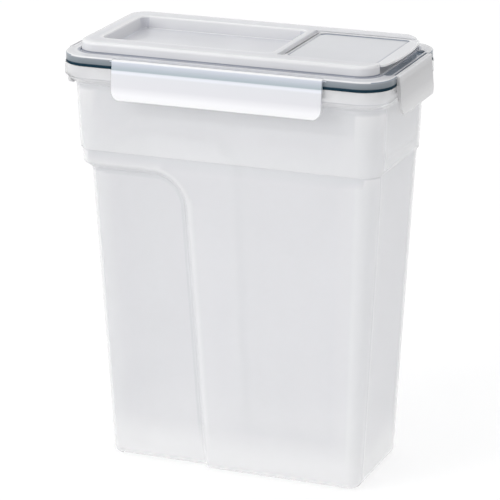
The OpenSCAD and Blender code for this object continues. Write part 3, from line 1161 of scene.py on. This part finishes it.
@dataclass
class Container:
    """The tall one-piece container.

    Attributes:
        sizes: The shared sizes.
        flare: Height of the flare under the rim band.
        end_flare: How far the flare stands out at the ends.
        side_flare: How far the flare stands out along the long sides.
        flare_ease: How gently the flare starts and ends, 0 for straight.
        flare_out: Heights of the flare's outer loops as shares of its own.
        flare_in: Heights of the flare's inner loops as shares of its own, downwards.
        upper: Height of the upper walls.
        upper_draft: How far the upper walls lean in on each side.
        step_out: How far the step stands out from the lower walls.
        end_draft: How far the lower walls lean in at each end.
        side_draft: How far the lower walls lean in on each long side.
        rim_trim: How much smaller the rim's corner radius is than the flange's.
        shoulder_radius: Corner radius at the top of the upper walls.
        step_radius: Corner radius at the step.
        lower_radius: Corner radius at the top of the lower walls.
        radius_draft: How much that radius shrinks down to the underside.
        wall: Thickness of the walls.
        rim_wall: Thickness of the rim band.
        floor: Thickness of the floor.
        fillet: Radius of the lower edge.
        fillet_steps: Segments in the lower edge.
        grip_depth: Depth of the grip.
        grip_width: Width of the grip from the left end.
        grip_drop: Distance of its top ledge below the step.
        grip_radius: Radius of its inner top corner.
        grip_slope: Width of the slope into it.
        grip_rest: Radius left at the left corners once the grip is pressed in.
        coarse: Distance of the loops on plain stretches.
        fine: Distance of loops and vertices where the grip turns.
    """

    sizes: Sizes
    flare: float = 7.5
    end_flare: float = 6.45
    side_flare: float = 8.85
    flare_ease: float = 0.35
    flare_out: tuple[float, ...] = (0.06, 0.16, 0.3, 0.5, 0.7, 0.86, 0.96)
    flare_in: tuple[float, ...] = (0.75, 0.5, 0.25, 0.0)
    upper: float = 49.0
    upper_draft: float = 2.1
    step_out: float = 1.35
    end_draft: float = 13.6
    side_draft: float = 8.0
    rim_trim: float = 0.5
    shoulder_radius: float = 17.0
    step_radius: float = 15.0
    lower_radius: float = 14.0
    radius_draft: float = 4.5
    wall: float = 1.8
    rim_wall: float = 2.4
    floor: float = 2.2
    fillet: float = 6.0
    fillet_steps: int = 8
    grip_depth: float = 6.0
    grip_width: float = 86.0
    grip_drop: float = 10.0
    grip_radius: float = 28.0
    grip_slope: float = 6.5
    grip_rest: float = 2.5
    coarse: float = 14.0
    fine: float = 1.1

    @property
    def shoulder_z(self) -> float:
        """Height at which the upper walls begin to flare."""
        return self.sizes.band_z - self.flare

    @property
    def step_z(self) -> float:
        """Height of the step between lower and upper walls."""
        return self.shoulder_z - self.upper

    @property
    def grip_z(self) -> float:
        """Height of the grip's top ledge."""
        return self.step_z - self.grip_drop

    @property
    def rim(self) -> Outline:
        """Outline of the rim band."""
        s = self.sizes
        return Outline.centred(s.rim_length, s.rim_width, s.lid_radius - self.rim_trim)

    @property
    def shoulder(self) -> Outline:
        """Outline of the upper walls at their top."""
        length = self.sizes.rim_length - 2 * self.end_flare
        return Outline.centred(length, self.sizes.rim_width - 2 * self.side_flare, self.shoulder_radius)

    @property
    def upper_foot(self) -> Outline:
        """Outline of the upper walls at the step."""
        shoulder, lean = self.shoulder, 2 * self.upper_draft
        return Outline.centred(2 * shoulder.x1 - lean, 2 * shoulder.half - lean, self.step_radius)

    def lower(self, z: float) -> Outline:
        """Outline of the lower walls.

        Args:
            z: Height above the underside.

        Returns:
            The outline there.
        """
        foot = self.upper_foot.grown(-self.step_out)
        share = 1 - z / self.step_z
        end, half = foot.x1 - share * self.end_draft, foot.half - share * self.side_draft
        radius = self.lower_radius - self.radius_draft * share
        return Outline(-end, end, half, max(radius, self.grip_depth + self.grip_rest), radius)

    def columns(self) -> tuple[float, ...]:
        """Spread the long sides' vertices, close together where the grip turns.

        Returns:
            Their distances from the left end.
        """
        turn = self.grip_width - self.grip_radius - 3
        close = (turn + self.fine * i for i in range(round((self.grip_radius + 5) / self.fine)))
        return 23, 30, 38, 47, *close, self.grip_width + 3.5

    def heights(self) -> list[float]:
        """Spread the lower walls' loops, close together where the grip's top turns.

        Returns:
            Their heights.
        """
        low, turn = self.fillet + 6, self.grip_z - self.grip_radius - 1
        coarse = [low + self.coarse * i for i in range(int((turn - low) / self.coarse) + 1)]
        return coarse + [turn + self.fine * i for i in range(int((self.grip_z - turn) / self.fine) + 2)]

    def lower_edge(self, inset: float, low: float, radius: float) -> Section:
        """Round the lower edge of the outside or the inside.

        Args:
            inset: Distance of the wall from the outside.
            low: Height of the flat.
            radius: Radius of the edge.

        Returns:
            Distance from the outside and height of each loop, upwards.
        """
        turns = [math.radians(90 * i / self.fillet_steps) for i in range(self.fillet_steps + 1)]
        return [(inset + radius * (1 - math.sin(a)), low + radius * (1 - math.cos(a))) for a in turns]

    def add_lower(self, loft: GripLoft, section: Section) -> None:
        """Draw the skin along the lower walls.

        Args:
            loft: The skin so far.
            section: Distance from the outside and height of each loop.
        """
        loft.pressed = True
        for inset, z in section:
            loft.over = inset
            loft.add(self.lower(z).grown(-inset), z)
        loft.pressed = False

    def draw_outside(self, loft: GripLoft) -> None:
        """Draw the outside from the underside up to the rim and over it.

        Args:
            loft: The empty skin.
        """
        step_z, shoulder_z, rim = self.step_z, self.shoulder_z, self.rim
        draft = self.upper_draft / self.upper
        self.add_lower(loft, self.lower_edge(0, 0, self.fillet))
        self.add_lower(loft, [(0, z) for z in (*self.heights(), step_z - 2)])
        loft.pile(self.lower(step_z), [(0, step_z - 0.8), (0.1, step_z - 0.35)])
        loft.pile(self.upper_foot, round_line([
            (-1, step_z, 0), (0, step_z, 0.5), (0.03, step_z + 1.4, 0),
        ], 4))
        loft.pile(self.shoulder, [
            (-draft * self.upper * 0.5, step_z + self.upper * 0.5),
            (-draft * 4, shoulder_z - 4), (-draft * 1.5, shoulder_z - 1.5),
        ])
        for share in self.flare_out:
            out = share + self.flare_ease * (eased(share) - share)
            loft.add(self.shoulder.towards(rim.grown(-0.25), out), shoulder_z + share * (self.flare - 0.2))
        band_z, rim_z = self.sizes.band_z, self.sizes.rim_z
        loft.pile(rim, round_line([
            (-0.35, band_z, 0), (0, band_z, 0.35), (0, rim_z, 0.45), (-self.rim_wall, rim_z, 0.9),
            (-self.rim_wall, band_z + 0.9, 0),
        ], 4))

    def draw_inside(self, loft: GripLoft) -> None:
        """Draw the inside from the rim band down to the floor.

        Args:
            loft: The skin of the outside.
        """
        step_z, draft = self.step_z, self.upper_draft / self.upper
        shoulder, rim = self.shoulder.grown(-self.wall), self.rim.grown(-self.rim_wall)
        for share in self.flare_in:
            loft.add(shoulder.towards(rim, share), self.shoulder_z + 0.9 + share * self.flare)
        loft.pile(shoulder, [(-draft * self.upper * 0.5, step_z + self.upper * 0.5)])
        loft.pile(self.upper_foot.grown(-self.wall), [(0.02, step_z + 1.2), (-0.2, step_z + 0.6)])
        loft.add(self.lower(step_z).grown(-self.wall), step_z - 0.4)
        self.add_lower(loft, [(self.wall, z) for z in (step_z - 2, *reversed(self.heights()))])
        self.add_lower(loft, self.lower_edge(self.wall, self.floor, self.fillet - self.wall)[::-1])

    def build(self) -> bpy.types.Object:
        """Model the container as one closed shell.

        Returns:
            The finished piece.
        """
        grip = Grip(self.grip_depth, self.grip_width, self.grip_z, self.grip_radius, self.grip_slope)
        loft = GripLoft(Walk(corner=14, near=self.columns(), long=8, short=8, hold=2.0), grip)
        self.draw_outside(loft)
        self.draw_inside(loft)
        piece = new_object("container_shell", loft.cap("first last").bm)
        # Bends up to a radius of 11 count as ridges, so the rounded corners are painted lighter as a
        # highlight.
        finish_surface(piece, 0, sharp_radius=11.0)
        dress(piece, FROSTED_BODY)
        seat(piece, "container", "container")
        return piece


@dataclass
class Lid:
    """The lid with its raised top, tray and flap pocket, and the seal under it.

    Attributes:
        sizes: The shared sizes.
        walk: How vertices are spread along the loops of lid and seal.
        plate: Thickness of the lid's plates.
        flange_plate: Thickness of the flange's plate.
        skirt: Length of the skirt.
        skirt_in: Distance of the skirt from the flange's side.
        groove_out: Distance of the seal's groove from the flange's side.
        groove_in: Distance of the groove's inner wall from the flange's side.
        groove_depth: Depth of the groove.
        rib_gap: Gap beside the seal's rib in the groove.
        moat: Depth of the channel round the raised top's foot.
        top_edge: Radius of the raised top's edge.
        tray_end: Distance of the tray from the raised top's left end.
        tray_side: Distance of the tray from the raised top's long sides.
        tray_gap: Distance of the tray from the flap's pocket.
        tray_depth: Depth of the tray.
        tray_radius: Corner radius of the tray's mouth.
        pocket_lean: How far the pocket's rear edge leans back.
        notch_gap: Gap between a clip and the walls of its notch.
        recess_radius: Largest corner radius of the recess under the flap's lip.
    """

    sizes: Sizes
    walk: Walk = Walk(corner=14, long=8, short=6)
    plate: float = 1.8
    flange_plate: float = 1.9
    skirt: float = 8.5
    skirt_in: float = 2.5
    groove_out: float = 1.0
    groove_in: float = 2.2
    groove_depth: float = 1.7
    rib_gap: float = 0.06
    moat: float = 1.7
    top_edge: float = 1.9
    tray_end: float = 13.0
    tray_side: float = 16.5
    tray_gap: float = 6.5
    tray_depth: float = 8.8
    tray_radius: float = 6.0
    pocket_lean: float = 1.2
    notch_gap: float = 0.3
    recess_radius: float = 3.2

    @property
    def pocket_x(self) -> float:
        """Rear end of the flap's pocket."""
        return self.sizes.hinge_x - self.sizes.knuckle - self.sizes.flap_gap + 0.1

    @property
    def notch_depth(self) -> float:
        """Depth of a clip's notch from the flange's side."""
        return self.sizes.clip_inset + self.sizes.barrel + self.notch_gap

    def tray(self) -> Outline:
        """Outline of the tray's mouth.

        Returns:
            The outline.
        """
        top, radius = self.sizes.top, self.tray_radius
        x0, x1 = top.x0 + self.tray_end, self.pocket_x - self.tray_gap
        return Outline(x0, x1, top.half - self.tray_side, radius, radius)

    def shell(self) -> bpy.types.Object:
        """Model the closed shell before anything is cut in.

        Returns:
            The shell.
        """
        s = self.sizes
        low, inner = s.flange_z - self.skirt, -self.skirt_in - self.plate
        groove_z, moat_z = s.flange_z + self.groove_depth, s.foot_z - self.moat
        tray, tray_z = self.tray(), s.top_z - self.tray_depth
        loft = Loft(self.walk)
        loft.pile(s.lid, round_line([
            (inner + 0.5, low, 0), (-self.skirt_in, low, 0.5), (-self.skirt_in, s.flange_z, 0),
            (-self.groove_in, s.flange_z, 0), (-self.groove_in, groove_z, 0),
            (-self.groove_out, groove_z, 0), (-self.groove_out, s.flange_z, 0),
            (0, s.flange_z, 0.3), (0, s.edge_z, 1.0), (-5, s.edge_z + 0.35, 0),
        ], 4))
        loft.pile(s.top, round_line([
            (1.7, s.foot_z, 0), (1.2, s.foot_z, 0.2), (1.1, moat_z, 0.2), (0, moat_z, 0.2),
            (-0.1, s.foot_z + 0.6, 0), (-0.55, s.top_z, self.top_edge), (-8, s.top_z, 0),
        ], 7))
        loft.pile(tray, round_line([
            (4, s.top_z, 0), (0, s.top_z, 1.1), (-1.8, tray_z + 0.4, 0), (-2.4, tray_z, 1.6),
            (-12, tray_z, 0),
        ], 5))
        loft.cap("last")
        loft.last = loft.first
        under_flange, under_top = s.edge_z - self.flange_plate, s.top_z - self.plate
        under_tray = tray_z - self.plate
        loft.pile(s.lid, round_line([
            (inner, low, 0), (inner, under_flange, 0.4), (inner - 2, under_flange, 0),
        ], 3)[1:])
        loft.pile(s.top, round_line([
            (-2.2, under_flange, 0), (-2.4, under_top, 0.8), (-6, under_top, 0),
        ], 3))
        loft.pile(tray, round_line([
            (3.5, under_top, 0), (self.plate, under_top, 0.4), (-0.4, under_tray, 2.2),
            (-12, under_tray, 0),
        ], 3))
        return new_object("lid_shell", loft.cap("last").bm)

    def pocket(self) -> bpy.types.Object:
        """Make the tool shape of the flap's pocket, with its rear edge slanted back.

        Returns:
            The tool shape.
        """
        s = self.sizes
        x0, x1, above = self.pocket_x, s.top.x1 + 3, s.top_z + 4
        section = [
            (x0, s.pocket_z), (x1, s.pocket_z), (x1, above), (x0 - self.pocket_lean, above),
            (x0 - self.pocket_lean, s.top_z), (x0, s.hinge_z + 0.9),
        ]
        tool = prism("pocket", [(-x, z) for x, z in section], 2 * (s.flap_half + s.flap_gap))
        tool.data.transform(Matrix.Rotation(math.radians(-90), 4, "Z"))
        return tool

    def recess(self) -> bpy.types.Object:
        """Make the tool shape of the recess under the flap's lip.

        Returns:
            The tool shape.
        """
        s = self.sizes
        x0 = s.top.x1 + 0.8
        room = s.lid.x1 - self.notch_depth - 1 - x0
        radius = min(self.recess_radius, room / 2 - 0.1)
        plan = Outline(x0, x0 + room, s.flap_half + 0.5, radius, radius)
        return slab("lip_recess", plan, s.edge_z - 1.4, s.top_z - 1)

    def cut_notch(self, piece: bpy.types.Object, side: Side) -> None:
        """Cut one clip's notch and the bores for its pins.

        Args:
            piece: The lid.
            side: The side that the clip is on.
        """
        s = self.sizes
        length, half = s.clip_length(side), s.lid_half(side)
        reach = length / 2 + self.notch_gap
        notch = block(
            "notch", (-reach, -half - 1, s.clip_z - s.barrel - 0.1),
            (reach, -half + self.notch_depth, s.clip_z + 6),
        )
        bore = rod(
            "bore", s.clip_pin + s.clearance, length + 2 * s.pin_length + 2 * self.notch_gap,
            (0, -half + s.clip_inset, s.clip_z), ALONG_X,
        )
        for tool in (notch, bore):
            tool.data.transform(side.turn)
            carve(piece, tool, Carving.CUT)

    def build(self) -> bpy.types.Object:
        """Model the lid.

        Returns:
            The finished piece.
        """
        s = self.sizes
        piece = self.shell()
        wall = s.flap_half + s.flap_gap + self.plate + 1.2
        carve(piece, block(
            "pocket_walls", (self.pocket_x - self.plate - 4.4, -wall, s.pocket_z - self.plate),
            (s.top.x1 - 1, wall, s.top_z - 0.7),
        ), Carving.JOIN)
        carve(piece, self.pocket(), Carving.CUT)
        carve(piece, slab("pour", s.pour, s.flange_z - 3, s.top_z), Carving.CUT)
        carve(piece, self.recess(), Carving.CUT)
        for side in Side:
            self.cut_notch(piece, side)
        finish_surface(piece, 0.3, sharp_radius=1.6)
        dress(piece, LID_GREY)
        seat(piece, "lid", "lid")
        return piece

    def build_seal(self) -> bpy.types.Object:
        """Model the seal with its rounded edges and the rib that holds it.

        Returns:
            The finished piece.
        """
        s = self.sizes
        low, high, inner = s.rim_z + 0.02, s.flange_z - 0.02, -2.35
        rib_z = s.flange_z + self.groove_depth - s.clearance
        rib_in, rib_out = -self.groove_in + self.rib_gap, -self.groove_out - self.rib_gap
        loft = Loft(self.walk)
        loft.pile(s.lid, round_line([
            (inner, low + 0.4, 0), (inner, low, 0.2), (0.0, low, 0.25), (0.0, high, 0.25),
            (rib_out, high, 0), (rib_out, rib_z, 0.25), (rib_in, rib_z, 0.25), (rib_in, high, 0),
            (inner, high, 0),
        ], 4)).ring()
        piece = new_object("seal_ring", loft.bm)
        finish_surface(piece, 0)
        dress(piece, SEAL_DARK)
        seat(piece, "lid", "lid_seal")
        return piece


@dataclass
class Flap:
    """The flip spout's flap.

    Attributes:
        sizes: The shared sizes.
        plate: Thickness of its plate.
        reach: How far the lip reaches past the raised top.
        bow: How far the lip bows out in its middle.
        rear_radius: Corner radius at the hinge.
        lip_radius: Corner radius at the lip.
        dish_rear: Distance of the dish from the hinge axis.
        dish_end: Distance of the dish from the raised top's end.
        dish_side: Distance of the dish from the flap's sides.
        dish_depth: Depth of the dish.
        dish_radius: Corner radius of the dish at the hinge.
        dish_front: Corner radius of the dish at the lip.
        pin_reach: How far each pin stands out past the flap's side.
        plug_gap: Gap between the plug ring and the pour opening.
        plug_wall: Thickness of the plug ring.
        plug_depth: How far the plug ring reaches below the pocket's floor.
        side_wall: Thickness of the walls under the flap's sides.
        overlap: How far joined shapes reach into the plate.
    """

    sizes: Sizes
    plate: float = 2.0
    reach: float = 7.0
    bow: float = 4.5
    rear_radius: float = 0.5
    lip_radius: float = 2.5
    dish_rear: float = 0.8
    dish_end: float = 3.0
    dish_side: float = 1.2
    dish_depth: float = 1.1
    dish_radius: float = 7.0
    dish_front: float = 4.0
    pin_reach: float = 3.0
    plug_gap: float = 1.0
    plug_wall: float = 1.6
    plug_depth: float = 1.4
    side_wall: float = 1.6
    overlap: float = 0.3

    def build(self) -> bpy.types.Object:
        """Model the flap with its dish, lip, knuckle, pins and plug ring.

        Returns:
            The finished piece.
        """
        s = self.sizes
        top = s.top_z - s.flap_low
        under, dish_z = top - self.plate, top - self.dish_depth
        end = s.top.x1 + self.reach - self.bow
        plan = Outline(s.hinge_x, end, s.flap_half, self.rear_radius, self.lip_radius, self.bow)
        dish = Outline(
            s.hinge_x + self.dish_rear, s.top.x1 - self.dish_end, s.flap_half - self.dish_side,
            self.dish_radius, self.dish_front,
        )
        loft = Loft(Walk(corner=10, long=10, short=16))
        loft.pile(plan, round_line([
            (-12, under, 0), (0, under, 0.6), (0, top, 0.7), (-0.8, top, 0),
        ], 4))
        loft.pile(dish, round_line([
            (0.9, top, 0), (0, top, 0.7), (-0.8, dish_z, 0.7), (-3.5, dish_z, 0),
        ], 3))
        piece = new_object("spout_flap_shell", loft.cap("first last").bm)
        axis, width = (s.hinge_x, 0, s.hinge_z), 2 * s.flap_half
        carve(piece, rod("knuckle", s.knuckle, width, axis, ALONG_Y), Carving.JOIN)
        carve(piece, rod("pins", s.flap_pin, width + 2 * self.pin_reach, axis, ALONG_Y), Carving.JOIN)
        plug = s.pour.grown(-self.plug_gap)
        ring = slab("plug", plug, s.pocket_z - self.plug_depth, under + self.overlap)
        inside = slab("plug_inside", plug.grown(-self.plug_wall), s.pocket_z - 3, under - 0.01)
        carve(ring, inside, Carving.CUT)
        carve(piece, ring, Carving.JOIN)
        half = self.side_wall / 2
        for y in (-s.flap_half + half, s.flap_half - half):
            carve(piece, block(
                "side_wall", (s.hinge_x + 5, y - half, s.pocket_z + 0.02),
                (s.top.x1 - 3, y + half, under + self.overlap),
            ), Carving.JOIN)
        finish_surface(piece, 0.2)
        dress(piece, FLAP_GREY)
        seat(piece, "flap", "spout_flap")
        return piece


@dataclass
class Clip:
    """One side clip with its hinge barrel and pins.

    Attributes:
        sizes: The shared sizes.
        side: The side that it is on.
        thickness: Thickness of its plate.
        drop: How far it hangs below the rim band.
        corner: Radius of its lower corners.
        rim_out: Distance outside the flange's side that its shape beside the rim is measured from.
    """

    sizes: Sizes
    side: Side
    thickness: float = 1.7
    drop: float = 13.2
    corner: float = 7.5
    rim_out: float = 0.5

    @property
    def hook(self) -> float:
        """Height of the rim band's underside from the hinge axis."""
        return self.sizes.band_z - self.sizes.clip_z

    def section(self) -> Section:
        """Section of the clip from its hinge axis, outward and up.

        Returns:
            The closed line's points.
        """
        s, t, hook, edge = self.sizes, self.thickness, self.hook, self.hook - self.drop
        rim, plate = s.clip_inset + self.rim_out, s.clip_inset + s.clip_gap
        return round_line([
            (0, -0.7, 0), (0, s.barrel, 0), (plate + t, s.barrel - 0.1, 1.3), (plate + t, -3.2, 2),
            (rim + t + 0.6, -5.8, 3), (rim + t + 1.3, hook - 2, 4), (rim + t + 1.8, hook - 7.2, 6),
            (rim + t + 2.7, edge + 0.3, 0.5), (rim + 1.6, edge, 0.5), (rim + 2.0, hook - 7, 4),
            (rim + 1.4, hook - 3.9, 1.2), (rim + 0.22, hook - 2.3, 0.5), (rim + 0.25, hook - 1.3, 0.5),
            (rim + 1.25, hook - 0.3, 0.5), (rim + 0.6, -5.6, 2), (plate, -3, 1.5), (plate, -0.7, 0.4),
            (0.4, -0.7, 0),
        ], 5)

    def build(self) -> bpy.types.Object:
        """Model the clip.

        Returns:
            The finished piece.
        """
        s, name = self.sizes, self.side.name.lower() + "_clip"
        length = s.clip_length(self.side)
        piece = prism(name + "_shell", self.section(), length)
        # The tool that rounds the lower corners is drawn lying down and then stood up.
        tall, behind, ahead = 30, 4, 9
        face = Outline(-length / 2, length / 2, tall, self.corner, self.corner)
        keep = slab("keep", face, -behind, ahead)
        keep.data.transform(Matrix.Rotation(math.radians(90), 4, "X"))
        keep.data.transform(Matrix.Translation((0, 0, (self.hook - self.drop + tall) * MM)))
        carve(piece, keep, Carving.KEEP)
        carve(piece, rod("barrel", s.barrel, length, (0, 0, 0), ALONG_X), Carving.JOIN)
        carve(piece, rod("pins", s.clip_pin, length + 2 * s.pin_length, (0, 0, 0), ALONG_X), Carving.JOIN)
        place = Matrix.Translation(Vector((0, -s.lid_half(self.side) + s.clip_inset, s.clip_z)) * MM)
        piece.data.transform(self.side.turn @ place)
        finish_surface(piece, 0.3)
        dress(piece, SHORT_CLIP if self.side.at_end else LONG_CLIP)
        seat(piece, name, name)
        return piece


@dataclass
class Studio:
    """Camera, lamps, floor and world, in metres.

    Attributes:
        azimuth: Camera direction round the object, degrees.
        elevation: Camera height above the horizon, degrees.
        roll: Camera roll, degrees.
        distance: Distance from the aim point.
        picture_px: Width of the picture in pixels.
        focal_px: Focal length in those pixels.
        aim: Point in the middle of the picture.
        lift: Upward offset of the camera.
        sensor: Width of the camera's sensor in millimetres.
        clip_range: Nearest and farthest distance that the camera sees.
        soft_light: Colour of the light from all round, linear.
        floor_half: Half the width of the floor.
        floor_drop: How far the floor lies below the object.
        paper: Grey of the floor that lights the object.
        paper_seen: Grey of the floor that the camera sees.
        paper_glow: Glow of the floor that the camera sees.
    """

    azimuth: float = 21.65
    elevation: float = 17.75
    roll: float = 0.11
    distance: float = 2.08616
    picture_px: float = 500
    focal_px: float = 2810.66
    aim: Vector = field(default_factory=lambda: Vector((0, 0, 0.160)))
    lift: float = 0.00139
    sensor: float = 36
    clip_range: tuple[float, float] = (0.05, 30)
    soft_light: Color = (0.78, 0.78, 0.79)
    floor_half: float = 6
    floor_drop: float = 0.0004
    paper: float = 0.85
    paper_seen: float = 0.35
    paper_glow: float = 0.7

    def camera(self) -> None:
        """Place the camera."""
        az, el = math.radians(self.azimuth), math.radians(self.elevation)
        back = Vector((math.sin(az) * math.cos(el), -math.cos(az) * math.cos(el), math.sin(el)))
        right = Vector((math.cos(az), math.sin(az), 0))
        up = back.cross(right)
        roll = Matrix.Rotation(-math.radians(self.roll), 3, back)
        right, up = roll @ right, roll @ up
        data = bpy.data.cameras.new("camera")
        data.sensor_width = self.sensor
        data.lens = self.focal_px / self.picture_px * data.sensor_width
        data.clip_start, data.clip_end = self.clip_range
        camera = link_object("camera", data)
        place = self.aim + self.lift * up + self.distance * back
        turn = Matrix((right, up, back)).transposed()
        camera.matrix_world = Matrix.Translation(place) @ turn.to_4x4()
        bpy.context.scene.camera = camera

    def lamp(self, name: str, place: Sequence[float], size: tuple[float, float], power: float) -> None:
        """Add one soft area lamp that faces the object.

        Args:
            name: Name of the lamp.
            place: Its place.
            size: Its width and height.
            power: Its power in watts.
        """
        data = bpy.data.lights.new(name, "AREA")
        data.shape = "RECTANGLE"
        data.size, data.size_y = size
        data.energy = power
        turn = (self.aim - Vector(place)).to_track_quat("-Z", "Y").to_matrix().to_4x4()
        link_object(name, data).matrix_world = Matrix.Translation(Vector(place)) @ turn

    @staticmethod
    def rays(tree: bpy.types.NodeTree, first: str, *others: str) -> Socket:
        """Mask that is 1 for some kinds of rays.

        Args:
            tree: The tree to build it in.
            first: First kind of ray, as Light Path names it.
            others: Further kinds.

        Returns:
            The mask's socket.
        """
        path = tree.nodes.new("ShaderNodeLightPath").outputs
        mask = path[first]
        for name in others:
            mask = calculate(tree, "MAXIMUM", mask, path[name])
        return mask

    def world(self) -> None:
        """Make the world white to the eye and in gloss, and a plain soft light on the object."""
        world = bpy.data.worlds.new("studio")
        bpy.context.scene.world = world
        world.use_nodes = True
        tree = world.node_tree
        seen = self.rays(tree, CAMERA_RAY, *SHINE_RAYS)
        color = blend(tree, seen, (*self.soft_light, 1), WHITE)
        feed(tree, tree.nodes["Background"].inputs["Color"], color)

    def paper_material(self) -> bpy.types.Material:
        """Make the floor's white paper.

        Returns:
            The material.
        """
        material = bpy.data.materials.new("floor_paper")
        material.use_nodes = True
        tree = material.node_tree
        shader = tree.nodes["Principled BSDF"].inputs
        shader["Roughness"].default_value = 0.9
        shader["Specular IOR Level"].default_value = 0.0
        shader["Emission Color"].default_value = WHITE
        seen, through = self.rays(tree, CAMERA_RAY), self.rays(tree, *SHINE_RAYS)
        lit, shown, bare = ((grey, grey, grey, 1) for grey in (self.paper, self.paper_seen, 0))
        glow = calculate(tree, "MULTIPLY_ADD", seen, self.paper_glow, through)
        feed(tree, shader["Base Color"], blend(tree, through, blend(tree, seen, lit, shown), bare))
        feed(tree, shader["Emission Strength"], glow)
        return material

    def floor(self) -> None:
        """Lay a wide white floor that keeps the object's shadow."""
        bm = bmesh.new()
        bmesh.ops.create_grid(bm, x_segments=1, y_segments=1, size=self.floor_half)
        bmesh.ops.translate(bm, vec=(0, 0, -self.floor_drop), verts=bm.verts)
        mesh = bpy.data.meshes.new("floor")
        bm.to_mesh(mesh)
        bm.free()
        floor = link_object("floor", mesh)
        mesh.materials.append(self.paper_material())

    def build(self) -> None:
        """Set up the whole studio."""
        bpy.context.scene.view_settings.view_transform = "Standard"
        self.camera()
        self.world()
        self.floor()
        self.lamp("key", (-1.6, -1.9, 1.5), (1.2, 1.6), 30)
        self.lamp("top", (0.3, 0.2, 2.2), (1.6, 1.2), 3)


def main() -> None:
    """Build the scene piece by piece."""
    logging.basicConfig(level=logging.INFO, format="%(message)s")
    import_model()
    Studio().build()
    sizes = Sizes.from_frame()
    Container(sizes).build()
    lid = Lid(sizes)
    lid.build()
    lid.build_seal()
    Flap(sizes).build()
    for side in Side:
        Clip(sizes, side).build()


if __name__ == "__main__":
    main()
